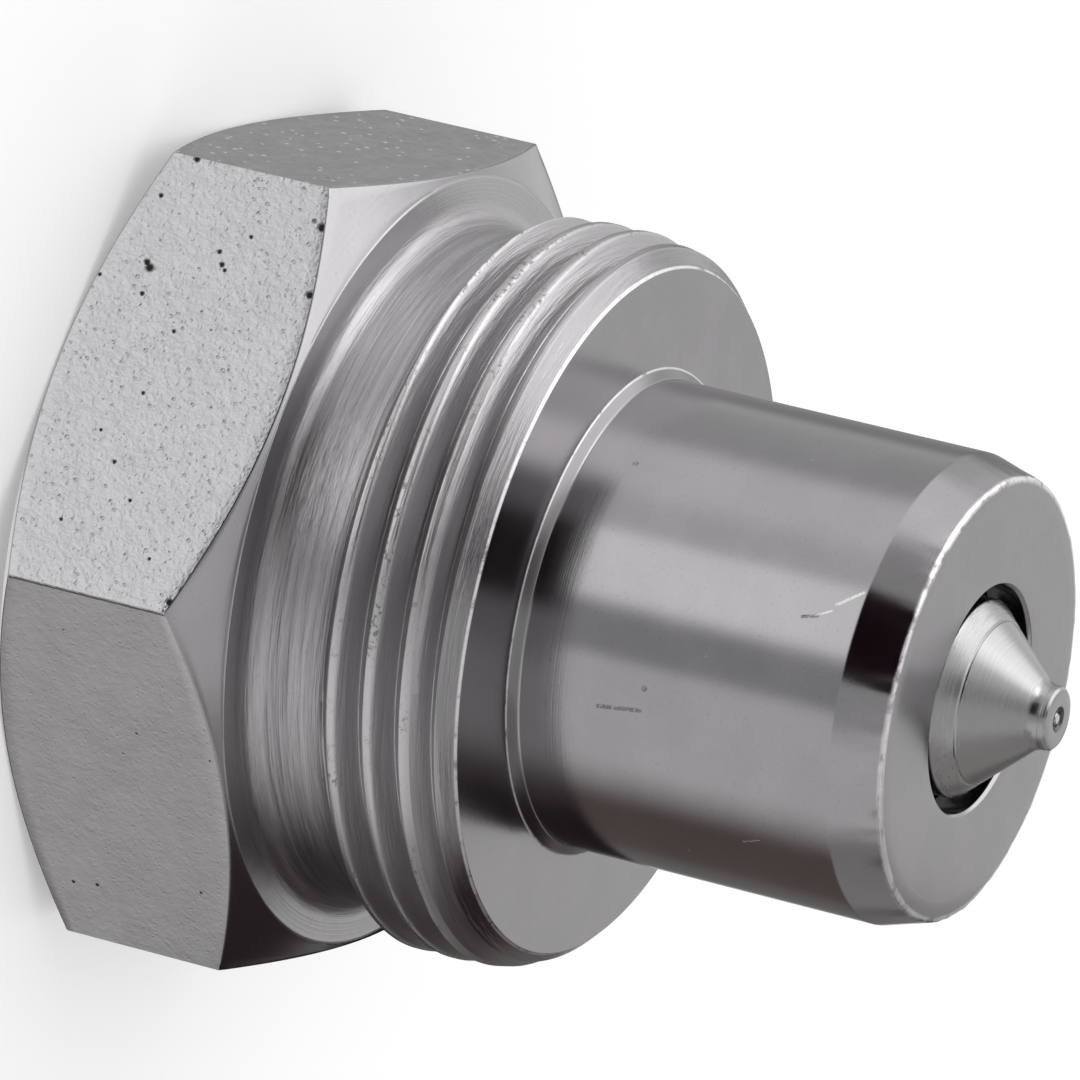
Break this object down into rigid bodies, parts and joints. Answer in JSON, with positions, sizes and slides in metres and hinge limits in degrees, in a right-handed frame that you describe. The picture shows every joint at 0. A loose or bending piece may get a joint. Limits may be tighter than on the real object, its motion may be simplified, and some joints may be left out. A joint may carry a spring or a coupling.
{
  "type": "hydraulic quick coupler",
  "caption": "Male half of a screw-to-connect hydraulic coupler: hexagon, coarse outer thread, plain nose and a spring-loaded poppet valve, with a rear pipe port.",
  "frame": {"origin": "centre of the hexagon's rear face, on the axis", "axes": "+Z along the axis from the rear port to the nose, +X through a corner of the hexagon"},
  "size_m": [0.0366, 0.0318, 0.0384],
  "materials": {
    "plated_steel": "neutral grey plating, satin on the turned faces and pitted on the hexagon's flats",
    "bright_steel": "fine turned steel",
    "nitrile": "smooth black rubber",
    "ptfe": "off-white plastic",
    "spring_wire": "drawn spring wire",
    "dark_steel": "phosphated spring steel"
  },
  "bodies": {
    "root": {"body": "plated_steel", "valve_guide": "bright_steel", "retaining_ring": "dark_steel", "return_spring": "spring_wire"},
    "poppet": {"poppet": "bright_steel", "poppet_seal": "nitrile", "seal_backup_ring": "ptfe"}
  },
  "joints": [
    {"name": "poppet_slide", "type": "slide", "parent": "root", "child": "poppet", "axis": [0, 0, -1], "range_m": [0, 0.0032], "stiffness_N_per_m": 3000, "springref_m": -0.003, "deforming": ["return_spring"]}
  ]
}
